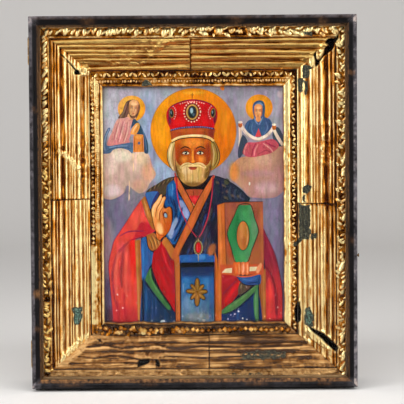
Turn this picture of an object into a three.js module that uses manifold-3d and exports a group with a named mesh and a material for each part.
// Icon kiot: a shallow wooden case with a glazed front sash, a funnel liner covered
// with embossed brass foil, and a painted panel behind the liner's opening.
// Millimetres. X runs to the viewer's right, Y to the back, Z up. The origin is in the
// middle of the footprint, on the surface that the case stands on.

import * as THREE from 'three';
import { mergeVertices } from 'three/addons/utils/BufferGeometryUtils.js';
import Module from 'manifold-3d';

const wasm = await Module();
wasm.setup();

// Clearances
const fit = 0.3;            // between glued, screwed or slotted neighbours
const overrun = 1;          // how far a cutter runs past the face that it opens

// Funnel liner. Seen from the front it runs from the opening outward as a flat ledge, a
// slope and a flat band, which ends at the case's wall.
const openingWidth = 191;
const openingHeight = 250;
const sideLedge = 13;
const topLedge = 15.5;
const bottomLedge = 11.5;
const sideSlope = 38.5;     // the slope's width as seen from the front
const topSlope = 32;
const bottomSlope = 32.5;
const sideBand = 10.5;
const topBand = 12.5;
const bottomBand = 13;
const bandRecess = 2.2;     // from the case's front edge back to the band
const slopeDrop = 26;       // from the band back to the ledge
const linerThickness = 4;
const linerBackShare = 0.06; // the board's back turns this share of the slope before its front
const linerEndShare = 0.03;  // share of the band left free at the wall

// Case
const wallThickness = 7.5;
const wallDepth = 60;
const plankThickness = 7;
const plankCount = 2;
const plankGap = 0.5;

// Sash
const sashOverhang = 2;     // past the case at the sides and the top
const baseReveal = 3;       // the case's lower edge shows below the sash
const sashThickness = 14;
const sashGap = 0.4;        // between the closed sash and the case
const railWidth = 9;        // as seen from the front
const railFlat = 3.8;       // from the rail's outer edge to its bevel
const arrisRadius = 1.3;    // rounding of the rail's outer edge
const arrisSteps = 4;
const bevelDrop = 4.5;
const glassSeat = 7;        // depth at which the glass bears on the rail's lip
const glassLap = 2.2;       // how far the lip covers the glass
const glassThickness = 2;
const glazingBeadWidth = 3.9;

// Foil
const foilThickness = 0.5;
const foilLift = 0.35;      // between the foil and the board under it
const foilMitreGap = 0.3;
const seamGap = 0.4;        // between the two lengths of a side's slope
const leftSeamShare = 0.52; // where the seam lies, as a share of the side's length
const rightSeamShare = 0.5;
const topSeamShare = 0.49;
const bottomSeamShare = 0.55;
const fluteHeight = 1.1;
const fluteSteps = 4;
const fluteShares = [0.14, 0.2, 0.13, 0.21, 0.17, 0.15]; // widths, as shares of the slope
const slopeMarginShare = 0.02;
const ropeHeight = 1;
const bandFoilShares = [0.06, 0.2, 0.3, 0.42, 0.54, 0.64, 0.76, 0.82, 0.88, 0.95];
const bandReliefShares = [0, 0.15, 0.8, 1, 0.8, 0.15, 0, 0.4, 0, 0];
const beadHeight = 1.7;
const edgeFoilShares = [0.04, 0.1, 0.26, 0.42, 0.5];
const edgeReliefShares = [0, 0, 1, 0, 0];

// Painted panel and what holds it
const sidePanelLap = 15.5;  // how far the panel runs behind the liner
const endPanelLap = 8.5;
const panelThickness = 18;
const splineHeight = 22;
const splineDepth = 6;      // sunk into the panel
const splineProud = 3;
const splineFlare = 2;      // dovetail flare on each side
const splineSpacing = 140;
const splineStop = 14;      // each spline stops short of one edge
const cleatWidth = 12;
const blockLap = 8;         // how far a block covers the panel's back
const blockHeight = 40;
const blockThickness = 7;

// Hinges
const hingeInset = 34.5;    // from the sash's end to the hinge's middle
const hingeHeight = 26;
const barrelRadius = 1.6;
const barrelOffset = 0.6;   // axis outside the sash's edge
const knuckleCount = 3;
const knuckleGap = 0.4;
const pinRadius = 0.65;
const pinCapRadius = 1.3;
const pinCapHeight = 0.9;
const leafThickness = 0.9;
const leafReach = 6.6;      // from the axis to the leaf's far edge
const leafScrewReach = 4.2; // from the axis
const leafScrewSpacing = 17;
const screwRadius = 0.7;
const screwHeadRadius = 1.5;
const screwHeadDepth = 0.7;
const screwLength = 6;

// Hook, its pivot screw and the stud on the sash
const hookHeight = 138;     // pivot above the case's underside
const pivotSetback = 9;     // behind the case's front edge
const hookThickness = 1;
const hookEyeRadius = 3.2;
const hookArmWidth = 2.4;
const hookTipRadius = 3.3;
const pivotRadius = 0.9;
const pivotShoulderRadius = 1.8;
const studDepth = 8;        // behind the sash's front face
const studRadius = 1.1;
const studHeadRadius = 2;
const studHeadThickness = 0.6;
const studRootRadius = 0.8;
const studRootLength = 5;

// Points round a turned piece
const finePointCount = 24;
const smallPointCount = 12;

// Places worked out from the sizes above. Depths are measured back from the sash's face.
const innerHalf = openingWidth / 2 + sideLedge + sideSlope + sideBand;
const innerBottom = wallThickness;
const openingBottom = innerBottom + bottomBand + bottomSlope + bottomLedge;
const openingMiddle = openingBottom + openingHeight / 2;
const innerTop = openingBottom + openingHeight + topLedge + topSlope + topBand;
const caseHalf = innerHalf + wallThickness;
const caseHeight = innerTop + wallThickness;
const sashHalf = caseHalf + sashOverhang;
const sashTop = caseHeight + sashOverhang;
const caseFront = sashThickness + sashGap;
const bandDepth = caseFront + bandRecess;
const ledgeDepth = bandDepth + slopeDrop;
const linerBack = ledgeDepth + linerThickness;
const panelFront = linerBack + fit;
const panelBack = panelFront + panelThickness;
const panelHalf = openingWidth / 2 + sidePanelLap;
const panelBottom = openingBottom - endPanelLap;
const panelTop = openingBottom + openingHeight + endPanelLap;
const plankFront = caseFront + wallDepth + fit;
const plankBack = plankFront + plankThickness;
const glassBack = glassSeat + fit + glassThickness;
const rabbetEdge = railWidth - glassLap;
const sideNames = ['left', 'right', 'top', 'bottom'];

function atDepth(depth) {
  return depth - plankBack / 2;
}

// Materials
function finish(color, roughness, metalness) {
  return new THREE.MeshStandardMaterial({ color, roughness, metalness });
}

const blackLacquer = finish(0x1b1a1c, 0.35, 0);
const brownWood = finish(0x6b4526, 0.7, 0);
const paleWood = finish(0xa98257, 0.75, 0);
const brassFoil = finish(0xd99a3c, 0.3, 1);
const paintedWood = finish(0x7a6f86, 0.5, 0);
const agedBrass = finish(0x9a7636, 0.4, 1);
const darkIron = finish(0x3a3532, 0.6, 1);
const clearGlass = finish(0xe8f0ee, 0.05, 0);
clearGlass.transparent = true;
clearGlass.opacity = 0.2;

const kiot = new THREE.Group();

function add(name, geometry, material) {
  const mesh = new THREE.Mesh(outward(geometry), material);
  mesh.name = name;
  kiot.add(mesh);
}

// Geometry helpers

// Shared vertices are merged and triangles of no area are dropped.
function merged(geometry) {
  const bare = geometry.clone();
  bare.deleteAttribute('normal');
  bare.deleteAttribute('uv');
  const result = mergeVertices(bare);
  const index = result.index.array;
  const kept = [];
  for (let i = 0; i < index.length; i += 3) {
    const corners = [index[i], index[i + 1], index[i + 2]];
    if (new Set(corners).size === corners.length) kept.push(...corners);
  }
  result.setIndex(kept);
  return result;
}

// The triangles are turned round where a mirrored map has turned the shape inside out.
function outward(geometry) {
  const result = merged(geometry);
  const at = result.attributes.position;
  const index = Array.from(result.index.array);
  const a = new THREE.Vector3();
  const b = new THREE.Vector3();
  const c = new THREE.Vector3();
  let volume = 0;
  for (let i = 0; i < index.length; i += 3) {
    a.fromBufferAttribute(at, index[i]);
    b.fromBufferAttribute(at, index[i + 1]);
    c.fromBufferAttribute(at, index[i + 2]);
    volume += a.dot(b.cross(c));
  }
  if (volume < 0) index.reverse();
  result.setIndex(index);
  return result;
}

function toSolid(geometry) {
  const source = outward(geometry);
  return new wasm.Manifold(new wasm.Mesh({
    numProp: 3,
    vertProperties: new Float32Array(source.attributes.position.array),
    triVerts: new Uint32Array(source.index.array),
  }));
}

function fromSolid(solid) {
  const data = solid.getMesh();
  const geometry = new THREE.BufferGeometry();
  geometry.setAttribute('position', new THREE.BufferAttribute(data.vertProperties, 3));
  geometry.setIndex(new THREE.BufferAttribute(data.triVerts, 1));
  return geometry;
}

function cut(geometry, cutters) {
  let solid = toSolid(geometry);
  for (const cutter of cutters) solid = solid.subtract(toSolid(cutter));
  return fromSolid(solid);
}

function join(geometries) {
  let solid = toSolid(geometries[0]);
  for (const other of geometries.slice(1)) solid = solid.add(toSolid(other));
  return fromSolid(solid);
}

// A box between two places, each given in x, depth and z.
function block(x0, x1, depth0, depth1, z0, z1) {
  const box = new THREE.BoxGeometry(x1 - x0, depth1 - depth0, z1 - z0);
  box.translate((x0 + x1) / 2, atDepth((depth0 + depth1) / 2), (z0 + z1) / 2);
  return box;
}

// A block that is mirrored to the left (-1) or kept at the right (1).
function sideBlock(hand, x0, x1, ...rest) {
  return hand < 0 ? block(-x1, -x0, ...rest) : block(x0, x1, ...rest);
}

// A turned piece. The profile gives radius and distance along the axis, which starts at
// the given place and runs along +X, +Y (to the back) or +Z.
function turned(profile, axis, place, pointCount = smallPointCount) {
  const points = profile.map(([radius, along]) => new THREE.Vector2(radius, along));
  const lathe = new THREE.LatheGeometry(points, pointCount);
  if (axis === 'x') lathe.rotateZ(-Math.PI / 2);
  if (axis === 'z') lathe.rotateX(Math.PI / 2);
  lathe.translate(place.x, atDepth(place.depth), place.z);
  return lathe;
}

function rod(radius, length, axis, place, pointCount) {
  return turned([[0, 0], [radius, 0], [radius, length], [0, length]], axis, place, pointCount);
}

// A four-sided frame of mitred strips. A place across a strip counts the frame's edges
// from the outside inward, and each side has its own distance from edge to edge.
function frame(half, bottom, top, widthsOf) {
  const edges = {};
  for (const side of sideNames) {
    edges[side] = [0];
    for (const width of widthsOf(side)) edges[side].push(edges[side].at(-1) + width);
  }
  return { half, bottom, top, edges };
}

// Distance from the frame's outer line at a place across a strip.
function inset({ edges }, side, place) {
  const list = edges[side];
  const first = Math.min(Math.max(Math.floor(place), 0), list.length - 2);
  return list[first] + (place - first) * (list[first + 1] - list[first]);
}

// One strip. Its outline is a list of [place, depth]. It runs from mitre to mitre, or
// from or to a distance along its side.
function strip(inFrame, side, outline, gap, from = null, to = null) {
  const { half, bottom, top } = inFrame;
  const upright = side === 'left' || side === 'right';
  const length = upright ? top - bottom : 2 * half;
  const startSide = upright ? 'bottom' : 'left';
  const endSide = upright ? 'top' : 'right';
  const shape = new THREE.Shape(outline.map(([place, depth]) => new THREE.Vector2(place, depth)));
  const geometry = new THREE.ExtrudeGeometry(shape, { depth: 1, bevelEnabled: false });
  const at = geometry.attributes.position;
  for (let i = 0; i < at.count; i += 1) {
    const place = at.getX(i);
    const y = atDepth(at.getY(i));
    const across = inset(inFrame, side, place);
    const start = from === null ? inset(inFrame, startSide, place) + gap : from;
    const end = to === null ? length - inset(inFrame, endSide, place) - gap : to;
    const along = at.getZ(i) < 1 / 2 ? start : end;
    if (side === 'left') at.setXYZ(i, across - half, y, bottom + along);
    if (side === 'right') at.setXYZ(i, half - across, y, bottom + along);
    if (side === 'top') at.setXYZ(i, along - half, y, top - across);
    if (side === 'bottom') at.setXYZ(i, along - half, y, bottom + across);
  }
  return geometry;
}

// Hinges

const hingeNames = ['upper', 'lower'];
const hingeMiddle = { upper: sashTop - hingeInset, lower: baseReveal + hingeInset };
const hingeAxis = { x: -(sashHalf + barrelOffset), depth: sashThickness + sashGap / 2 };
const recessRadius = barrelRadius + fit;
const knuckleLength = (hingeHeight - (knuckleCount - 1) * knuckleGap) / knuckleCount;
const caseLeafFront = caseFront;
const sashLeafFront = sashThickness - leafThickness;

// Room for the barrel in the wood beside it.
function hingeRecess(name) {
  const length = hingeHeight + 2 * (pinCapHeight + 2 * fit);
  const place = { ...hingeAxis, z: hingeMiddle[name] - length / 2 };
  return rod(recessRadius, length, 'z', place, finePointCount);
}

function leafMortise(name, depth0, depth1) {
  const reach = hingeHeight / 2 + fit;
  return block(
    hingeAxis.x, hingeAxis.x + leafReach + fit, depth0, depth1,
    hingeMiddle[name] - reach, hingeMiddle[name] + reach,
  );
}

function leafScrewPlaces(name, depth) {
  const x = hingeAxis.x + leafScrewReach;
  return [-1, 1].map((end) => ({ x, depth, z: hingeMiddle[name] + end * leafScrewSpacing / 2 }));
}

// A countersunk screw, its head flush at its place, pointing back (1) or forward (-1).
// With growth it is the hole for one.
function screw(place, direction, growth) {
  const headRadius = screwHeadRadius + growth;
  const radius = screwRadius + growth;
  const end = screwLength + growth;
  const profile = [
    [0, -growth], [headRadius, -growth], [headRadius, 0], [radius, screwHeadDepth],
    [radius, end], [0, end],
  ];
  return turned(profile.map(([r, along]) => [r, direction * along]), 'y', place);
}

// A hinge leaf with its own knuckles, notched round the other leaf's knuckles.
function leaf(name, plateFront, headDepth, direction, owns) {
  const low = hingeMiddle[name] - hingeHeight / 2;
  const numbers = [...Array(knuckleCount).keys()];
  const knuckleLow = (number) => low + number * (knuckleLength + knuckleGap);
  const plate = block(
    hingeAxis.x, hingeAxis.x + leafReach, plateFront, plateFront + leafThickness,
    low, low + hingeHeight,
  );
  const notches = numbers.filter((number) => !owns(number)).map((number) => {
    const place = { ...hingeAxis, z: knuckleLow(number) - knuckleGap };
    return rod(recessRadius, knuckleLength + 2 * knuckleGap, 'z', place, finePointCount);
  });
  const knuckles = numbers.filter(owns).map((number) => {
    const place = { ...hingeAxis, z: knuckleLow(number) };
    return rod(barrelRadius, knuckleLength, 'z', place, finePointCount);
  });
  const boreStart = { ...hingeAxis, z: low - overrun };
  const bore = rod(pinRadius + fit, hingeHeight + 2 * overrun, 'z', boreStart);
  const holes = leafScrewPlaces(name, headDepth).map((place) => screw(place, direction, fit));
  return cut(join([cut(plate, notches), ...knuckles]), [bore, ...holes]);
}

function hingePin(name) {
  const reach = hingeHeight + 2 * fit;
  const profile = [
    [0, -pinCapHeight], [pinCapRadius, -pinCapHeight], [pinCapRadius, 0], [pinRadius, 0],
    [pinRadius, reach], [pinCapRadius, reach], [pinCapRadius, reach + pinCapHeight],
    [0, reach + pinCapHeight],
  ];
  return turned(profile, 'z', { ...hingeAxis, z: hingeMiddle[name] - reach / 2 });
}

const isMiddleKnuckle = (number) => number % 2 === 1;
const isEndKnuckle = (number) => number % 2 === 0;

for (const name of hingeNames) {
  const caseLeaf = leaf(name, caseLeafFront, caseFront, 1, isEndKnuckle);
  const sashLeaf = leaf(name, sashLeafFront, sashThickness, -1, isMiddleKnuckle);
  add(`hinge_${name}_case_leaf`, caseLeaf, agedBrass);
  add(`hinge_${name}_sash_leaf`, sashLeaf, agedBrass);
  add(`hinge_${name}_pin`, hingePin(name), agedBrass);
  leafScrewPlaces(name, caseFront).forEach((place, i) => {
    add(`hinge_${name}_case_screw_${i + 1}`, screw(place, 1, 0), darkIron);
  });
  leafScrewPlaces(name, sashThickness).forEach((place, i) => {
    add(`hinge_${name}_sash_screw_${i + 1}`, screw(place, -1, 0), darkIron);
  });
}

// Hook, pivot screw and stud

const hookInner = sashHalf + fit;
const hookOuter = hookInner + hookThickness;
const headInner = hookOuter + fit;
const headOuter = headInner + studHeadThickness;
const pivotPlace = { x: caseHalf, depth: caseFront + pivotSetback, z: hookHeight };
const studPlace = { x: sashHalf, depth: studDepth, z: hookHeight };

// The hook hangs straight down from its pivot, and its notch opens to the back. Swung
// over the top and down to the front, it drops over the stud.
function hook() {
  const eye = { ...pivotPlace, x: hookInner };
  const tip = { ...eye, z: hookHeight - (pivotPlace.depth - studPlace.depth) };
  const arm = block(
    hookInner, hookOuter, eye.depth - hookArmWidth / 2, eye.depth + hookArmWidth / 2, tip.z, eye.z,
  );
  const cutStart = hookInner - overrun;
  const cutLength = hookThickness + 2 * overrun;
  const notchRadius = studRadius + fit;
  const mouth = block(
    cutStart, cutStart + cutLength, tip.depth, tip.depth + hookTipRadius + overrun,
    tip.z - notchRadius, tip.z + notchRadius,
  );
  return cut(join([
    rod(hookEyeRadius, hookThickness, 'x', eye, finePointCount),
    rod(hookTipRadius, hookThickness, 'x', tip, finePointCount),
    arm,
  ]), [
    rod(pivotRadius + fit, cutLength, 'x', { ...eye, x: cutStart }),
    rod(notchRadius, cutLength, 'x', { ...tip, x: cutStart }, finePointCount),
    mouth,
  ]);
}

// A root in the wood, a shoulder outside it, a neck and a round head.
function headedPin(place, shoulderRadius, shoulderEnd, neckRadius) {
  const profile = [
    [0, -studRootLength], [studRootRadius, -studRootLength], [studRootRadius, fit],
    [shoulderRadius, fit], [shoulderRadius, shoulderEnd - place.x], [neckRadius, shoulderEnd - place.x],
    [neckRadius, headInner - place.x], [studHeadRadius, headInner - place.x],
    [studHeadRadius, headOuter - place.x], [0, headOuter - place.x],
  ];
  return turned(profile, 'x', place, finePointCount);
}

function rootHole(place) {
  const depth = studRootLength + fit;
  return rod(studRootRadius + fit, depth + overrun, 'x', { ...place, x: place.x - depth });
}

add('hook', hook(), agedBrass);
add('hook_pivot_screw', headedPin(pivotPlace, pivotShoulderRadius, sashHalf, pivotRadius), agedBrass);
add('hook_stud', headedPin(studPlace, studRadius, headInner, studRadius), agedBrass);

// Sash rails, glazing beads and glass

const sashFrame = frame(sashHalf, baseReveal, sashTop, () => [1]);

function railOutline() {
  const arris = [];
  for (let step = 0; step <= arrisSteps; step += 1) {
    const turn = (step / arrisSteps) * Math.PI / 2;
    arris.push([arrisRadius * (1 - Math.cos(turn)), arrisRadius * (1 - Math.sin(turn))]);
  }
  return [
    [0, sashThickness], ...arris, [railFlat, 0], [railWidth, bevelDrop],
    [railWidth, glassSeat], [rabbetEdge, glassSeat], [rabbetEdge, sashThickness],
  ];
}

const railCutters = {
  left: hingeNames.flatMap((name) => [
    hingeRecess(name),
    leafMortise(name, sashLeafFront - fit, sashThickness + overrun),
    ...leafScrewPlaces(name, sashThickness).map((place) => screw(place, -1, fit)),
  ]),
  right: [rootHole(studPlace)],
  top: [],
  bottom: [],
};

const beadOuter = rabbetEdge + fit;
const beadInner = beadOuter + glazingBeadWidth;
const beadOutline = [
  [beadOuter, glassBack + fit], [beadInner, glassBack + fit],
  [beadInner, sashThickness - fit], [beadOuter, sashThickness - fit],
];

for (const side of sideNames) {
  const rail = cut(strip(sashFrame, side, railOutline(), fit / 2), railCutters[side]);
  add(`sash_rail_${side}`, rail, blackLacquer);
  add(`glazing_bead_${side}`, strip(sashFrame, side, beadOutline, fit / 2), brownWood);
}

const glassEdge = rabbetEdge + fit;
add('glass_pane', block(
  glassEdge - sashHalf, sashHalf - glassEdge, glassSeat + fit, glassBack,
  baseReveal + glassEdge, sashTop - glassEdge,
), clearGlass);

// Case walls and back planks

const wallCutters = {
  left: hingeNames.flatMap((name) => [
    hingeRecess(name),
    leafMortise(name, caseFront - overrun, caseLeafFront + leafThickness + fit),
    ...leafScrewPlaces(name, caseFront).map((place) => screw(place, 1, fit)),
  ]),
  right: [rootHole(pivotPlace)],
};

for (const [side, hand] of [['left', -1], ['right', 1]]) {
  const wall = sideBlock(hand, innerHalf, caseHalf, caseFront, caseFront + wallDepth, 0, caseHeight);
  add(`case_side_${side}`, cut(wall, wallCutters[side]), blackLacquer);
}

for (const [end, low] of [['bottom', 0], ['top', innerTop]]) {
  add(`case_${end}`, block(
    fit - innerHalf, innerHalf - fit, caseFront, caseFront + wallDepth, low, low + wallThickness,
  ), blackLacquer);
}

const plankHeight = (caseHeight - (plankCount - 1) * plankGap) / plankCount;
for (let number = 0; number < plankCount; number += 1) {
  const low = number * (plankHeight + plankGap);
  add(`back_plank_${number + 1}`, block(
    -caseHalf, caseHalf, plankFront, plankBack, low, low + plankHeight,
  ), paleWood);
}

// Liner boards and the foil on them. Across a side, place 0 is the wall, 1 the slope's
// start, 2 its end, 3 the opening and 4 the inner face of the foil that is turned in there.

const foilReveal = fit + foilThickness;
const linerWidths = {
  left: [sideBand, sideSlope, sideLedge, foilReveal],
  right: [sideBand, sideSlope, sideLedge, foilReveal],
  top: [topBand, topSlope, topLedge, foilReveal],
  bottom: [bottomBand, bottomSlope, bottomLedge, foilReveal],
};
const linerFrame = frame(innerHalf, innerBottom, innerTop, (side) => linerWidths[side]);

const linerOutline = [
  [linerEndShare, bandDepth], [1, bandDepth], [2, ledgeDepth], [3, ledgeDepth],
  [3, linerBack], [2 - linerBackShare, linerBack], [1 - linerBackShare, bandDepth + linerThickness],
  [linerEndShare, bandDepth + linerThickness],
];

// A foil's outline: a flat back and a face raised by shares of the relief's height.
function foilOutline(first, places, reliefShares, height, backAt) {
  const face = places.map((place, i) => [
    place, backAt(place) - foilThickness - reliefShares[i] * height,
  ]);
  return [[first, backAt(first)], ...face, [places.at(-1), backAt(places.at(-1))]];
}

const bandOutline = foilOutline(
  bandFoilShares[0], bandFoilShares, bandReliefShares, ropeHeight, () => bandDepth - foilLift,
);

function slopeOutline() {
  const places = [];
  const relief = [];
  let start = 1 + slopeMarginShare;
  for (const share of fluteShares) {
    const width = share * (1 - 2 * slopeMarginShare);
    for (let step = 0; step < fluteSteps; step += 1) {
      places.push(start + width * step / fluteSteps);
      relief.push(Math.sin(Math.PI * step / fluteSteps));
    }
    start += width;
  }
  places.push(start);
  relief.push(0);
  const backAt = (place) => bandDepth + (place - 1) * slopeDrop - foilLift;
  return foilOutline(places[0], places, relief, fluteHeight, backAt);
}

// The edge foil lies on the ledge and is turned in along the opening.
const edgeBack = ledgeDepth - foilLift;
const edgePlaces = edgeFoilShares.map((share) => 2 + share);
const edgeOutline = [
  ...foilOutline(edgePlaces[0], edgePlaces, edgeReliefShares, beadHeight, () => edgeBack).slice(0, -1),
  [4, edgeBack - foilThickness], [4, linerBack], [3 + fit / foilReveal, linerBack],
  [3 + fit / foilReveal, edgeBack],
];

const strandNames = {
  left: ['lower', 'upper'], right: ['lower', 'upper'], top: ['left', 'right'], bottom: ['left', 'right'],
};
const seamPlace = {
  left: leftSeamShare * (innerTop - innerBottom),
  right: rightSeamShare * (innerTop - innerBottom),
  top: topSeamShare * 2 * innerHalf,
  bottom: bottomSeamShare * 2 * innerHalf,
};

for (const side of sideNames) {
  add(`liner_board_${side}`, strip(linerFrame, side, linerOutline, fit / 2), brownWood);
  add(`foil_band_${side}`, strip(linerFrame, side, bandOutline, foilMitreGap), brassFoil);
  add(`foil_edge_${side}`, strip(linerFrame, side, edgeOutline, foilMitreGap), brassFoil);
  const [first, second] = strandNames[side].map((name) => `foil_slope_${side}_${name}`);
  const firstEnd = seamPlace[side] - seamGap / 2;
  const secondStart = seamPlace[side] + seamGap / 2;
  add(first, strip(linerFrame, side, slopeOutline(), foilMitreGap, null, firstEnd), brassFoil);
  add(second, strip(linerFrame, side, slopeOutline(), foilMitreGap, secondStart), brassFoil);
}

// Painted panel and its splines

// A dovetail bar across the panel's back, from one x to another. With growth it is the
// groove for one.
function spline(x0, x1, middle, growth) {
  const root = splineHeight / 2 + growth;
  const foot = root - splineFlare;
  const shape = new THREE.Shape([
    new THREE.Vector2(middle - root, panelBack - splineDepth - growth),
    new THREE.Vector2(middle + root, panelBack - splineDepth - growth),
    new THREE.Vector2(middle + foot, panelBack + splineProud),
    new THREE.Vector2(middle - foot, panelBack + splineProud),
  ]);
  const bar = new THREE.ExtrudeGeometry(shape, { depth: x1 - x0, bevelEnabled: false });
  const at = bar.attributes.position;
  for (let i = 0; i < at.count; i += 1) {
    at.setXYZ(i, x0 + at.getZ(i), atDepth(at.getY(i)), at.getX(i));
  }
  return bar;
}

const upperSpline = openingMiddle + splineSpacing / 2;
const lowerSpline = openingMiddle - splineSpacing / 2;
const grooves = [
  spline(-panelHalf - overrun, panelHalf - splineStop + fit, upperSpline, fit),
  spline(splineStop - panelHalf - fit, panelHalf + overrun, lowerSpline, fit),
];
add('icon_panel', cut(block(
  -panelHalf, panelHalf, panelFront, panelBack, panelBottom, panelTop,
), grooves), paintedWood);
add('panel_spline_upper', spline(-panelHalf, panelHalf - splineStop, upperSpline, 0), brownWood);
add('panel_spline_lower', spline(splineStop - panelHalf, panelHalf, lowerSpline, 0), brownWood);

// Cleats beside and under the panel, glued to the liner's back, and blocks behind it

// Distances inward from the wall, and the depth of the liner board's back there.
const cleatFrame = frame(innerHalf, innerBottom, innerTop, () => [1]);

function cleat(side, panelLap, from, to) {
  const [, slope] = linerWidths[side];
  const foot = inset(linerFrame, side, 2 - linerBackShare);
  const backAt = (across) => linerBack - Math.max(foot - across, 0) * slopeDrop / slope;
  const inner = inset(linerFrame, side, 3) - panelLap - fit;
  const outer = inner - cleatWidth;
  const bend = Math.min(Math.max(foot, outer), inner);
  const front = [...new Set([outer, bend, inner])];
  const outline = [
    ...front.map((across) => [across, backAt(across) + fit]),
    [inner, panelBack], [outer, panelBack],
  ];
  return strip(cleatFrame, side, outline, 0, from, to);
}

const cleatOuter = panelHalf + fit + cleatWidth;
for (const [side, hand] of [['left', -1], ['right', 1]]) {
  const upright = cleat(side, sidePanelLap, panelBottom - innerBottom, panelTop - innerBottom);
  add(`cleat_${side}`, upright, paleWood);
  add(`panel_block_${side}`, sideBlock(
    hand, panelHalf - blockLap, cleatOuter, panelBack + fit, panelBack + fit + blockThickness,
    openingMiddle - blockHeight / 2, openingMiddle + blockHeight / 2,
  ), paleWood);
}
const lying = cleat('bottom', endPanelLap, innerHalf - cleatOuter, innerHalf + cleatOuter);
add('cleat_bottom', lying, paleWood);

export default kiot;
